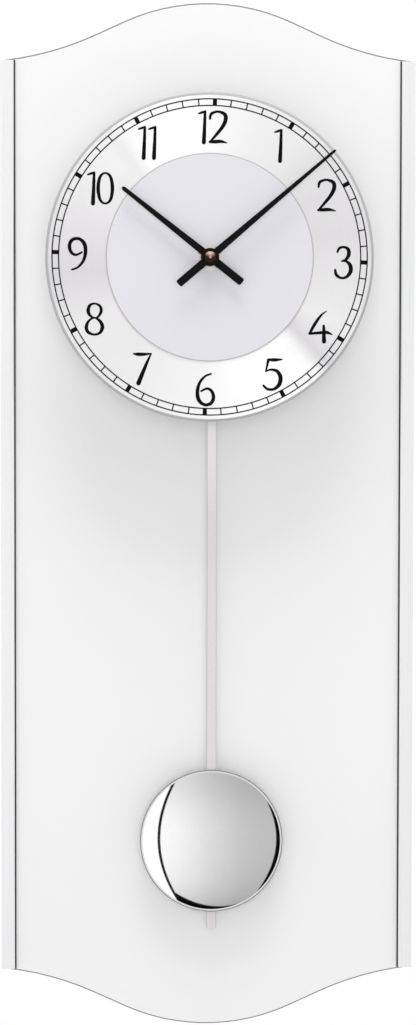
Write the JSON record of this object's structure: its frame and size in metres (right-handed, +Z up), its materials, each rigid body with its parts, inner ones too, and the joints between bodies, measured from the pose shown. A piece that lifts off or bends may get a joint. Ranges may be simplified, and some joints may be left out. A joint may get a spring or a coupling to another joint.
{
  "type": "pendulum wall clock",
  "caption": "Slim white wall clock with an ogee-ended glass panel, aluminium side profiles, a raised round dial with open hands and a swinging chromed pendulum.",
  "frame": {"origin": "centre of the hanger plate's round keyhole opening, on the wall plane", "axes": "+Z up, +X to the viewer's right, +Y into the wall, so the dial faces -Y"},
  "size_m": [0.25, 0.0665, 0.6198],
  "materials": {
    "brushed_aluminium": "satin, grain running up and down",
    "spun_aluminium": "circular spun grain",
    "matt_silver": "matt silver lacquer",
    "white_glass": "glass lacquered white on its back, glossy and opaque",
    "board": "plain fibreboard",
    "hardwood": "planed beech",
    "black_rubber": "matt",
    "clear_nylon": "translucent",
    "zinc_steel": "zinc plated",
    "screw_steel": "zinc plated",
    "black_ink": "printed ink",
    "black_lacquer": "matt black lacquer",
    "coned_brass": "polished reddish brass",
    "nickel_washer": "nickel plated",
    "brass": "turned brass",
    "black_plastic": "moulded, fine texture",
    "white_acetal": "moulded gear plastic",
    "magnet": "sintered ferrite",
    "copper_wire": "enamelled copper winding",
    "green_board": "solder mask",
    "chrome": "polished",
    "cell_wrap": "plain printed sleeve"
  },
  "bodies": {
    "case": {"side_profile_left": "brushed_aluminium", "side_profile_right": "brushed_aluminium", "gasket_left": "black_rubber", "gasket_right": "black_rubber", "glass_panel": "white_glass", "backing_board": "board", "hanger_block": "hardwood", "hanger_plate": "zinc_steel", "hanger_screws": "screw_steel", "wall_pads": "black_rubber", "post_washers": "clear_nylon", "standoff_posts": "brushed_aluminium", "post_rear_screws": "screw_steel", "carrier_plate": "zinc_steel", "post_front_screws": "screw_steel", "dial_plate": "spun_aluminium", "centre_disc": "matt_silver", "dial_washer": "nickel_washer", "fixing_nut": "brass", "rubber_washer": "black_rubber", "case_front": "black_plastic", "case_back": "black_plastic", "threaded_bush": "brass", "train_plate": "white_acetal", "train_screws": "screw_steel", "stator": "zinc_steel", "motor_coil": "copper_wire", "circuit_board": "green_board", "quartz_crystal": "nickel_washer", "driver_chip": "black_plastic", "coil_bobbin": "white_acetal", "drive_coil": "copper_wire", "contact_positive": "nickel_washer", "contact_negative": "nickel_washer", "suspension_pin": "zinc_steel", "pin_clip": "screw_steel"},
    "minute_hand": {"minute_arbor": "white_acetal", "minute_hand": "black_lacquer", "hand_nut": "coned_brass"},
    "hour_hand": {"hour_wheel": "white_acetal", "hour_hand": "black_lacquer"},
    "minute_wheel": {"minute_wheel": "white_acetal"},
    "setting_knob": {"setting_knob": "black_plastic"},
    "centre_wheel": {"centre_wheel": "white_acetal"},
    "third_wheel": {"third_wheel": "white_acetal"},
    "second_wheel": {"second_wheel": "white_acetal"},
    "intermediate_wheel": {"intermediate_wheel": "white_acetal"},
    "rotor": {"rotor_pinion": "white_acetal", "rotor_magnet": "magnet"},
    "pendulum": {"pendulum_lever": "black_plastic", "lever_magnet": "magnet", "pendulum_rod": "brushed_aluminium"},
    "bob": {"bob_shell": "chrome", "bob_back": "zinc_steel", "bob_weight": "zinc_steel", "bob_clip": "zinc_steel"},
    "battery": {"battery": "cell_wrap"}
  },
  "joints": [
    {"name": "minute_hand_turn", "type": "hinge", "parent": "case", "child": "minute_hand", "pos_m": [0, 0, -0.1086], "axis": [0, 1, 0], "continuous": true},
    {"name": "hour_hand_turn", "type": "hinge", "parent": "case", "child": "hour_hand", "pos_m": [0, 0, -0.1086], "axis": [0, 1, 0], "continuous": true},
    {"name": "minute_wheel_turn", "type": "hinge", "parent": "case", "child": "minute_wheel", "pos_m": [-0.00705, 0, -0.11116], "axis": [0, 1, 0], "continuous": true},
    {"name": "setting_knob_turn", "type": "hinge", "parent": "case", "child": "setting_knob", "pos_m": [-0.0148, 0, -0.1098], "axis": [0, 1, 0], "continuous": true},
    {"name": "intermediate_wheel_turn", "type": "hinge", "parent": "case", "child": "intermediate_wheel", "pos_m": [0.00819, 0, -0.09655], "axis": [0, 1, 0], "continuous": true},
    {"name": "rotor_turn", "type": "hinge", "parent": "case", "child": "rotor", "pos_m": [0.01326, 0, -0.09839], "axis": [0, 1, 0], "continuous": true},
    {"name": "second_wheel_turn", "type": "hinge", "parent": "case", "child": "second_wheel", "pos_m": [0.00198, 0, -0.09764], "axis": [0, 1, 0], "continuous": true},
    {"name": "third_wheel_turn", "type": "hinge", "parent": "case", "child": "third_wheel", "pos_m": [-0.00425, 0, -0.10124], "axis": [0, 1, 0], "continuous": true},
    {"name": "centre_wheel_turn", "type": "hinge", "parent": "case", "child": "centre_wheel", "pos_m": [0, 0, -0.1086], "axis": [0, 1, 0], "continuous": true},
    {"name": "pendulum_swing", "type": "hinge", "parent": "case", "child": "pendulum", "pos_m": [0.0023, 0, -0.1426], "axis": [0, 1, 0], "range_deg": [-6, 6]},
    {"name": "bob_slide", "type": "slide", "parent": "pendulum", "child": "bob", "axis": [0, 0, 1], "range_m": [-0.01, 0.015]},
    {"name": "battery_slide", "type": "slide", "parent": "case", "child": "battery", "axis": [0, 1, 0], "range_m": [0, 0.06]}
  ],
  "couplings": [
    {"joint": "hour_hand_turn", "follows": "minute_hand_turn", "ratio": 0.083333},
    {"joint": "minute_wheel_turn", "follows": "minute_hand_turn", "ratio": -0.33333},
    {"joint": "setting_knob_turn", "follows": "minute_hand_turn", "ratio": 0.83333},
    {"joint": "rotor_turn", "follows": "intermediate_wheel_turn", "ratio": -5},
    {"joint": "second_wheel_turn", "follows": "intermediate_wheel_turn", "ratio": -0.16667},
    {"joint": "third_wheel_turn", "follows": "intermediate_wheel_turn", "ratio": 0.020833},
    {"joint": "centre_wheel_turn", "follows": "intermediate_wheel_turn", "ratio": -0.0027778}
  ]
}
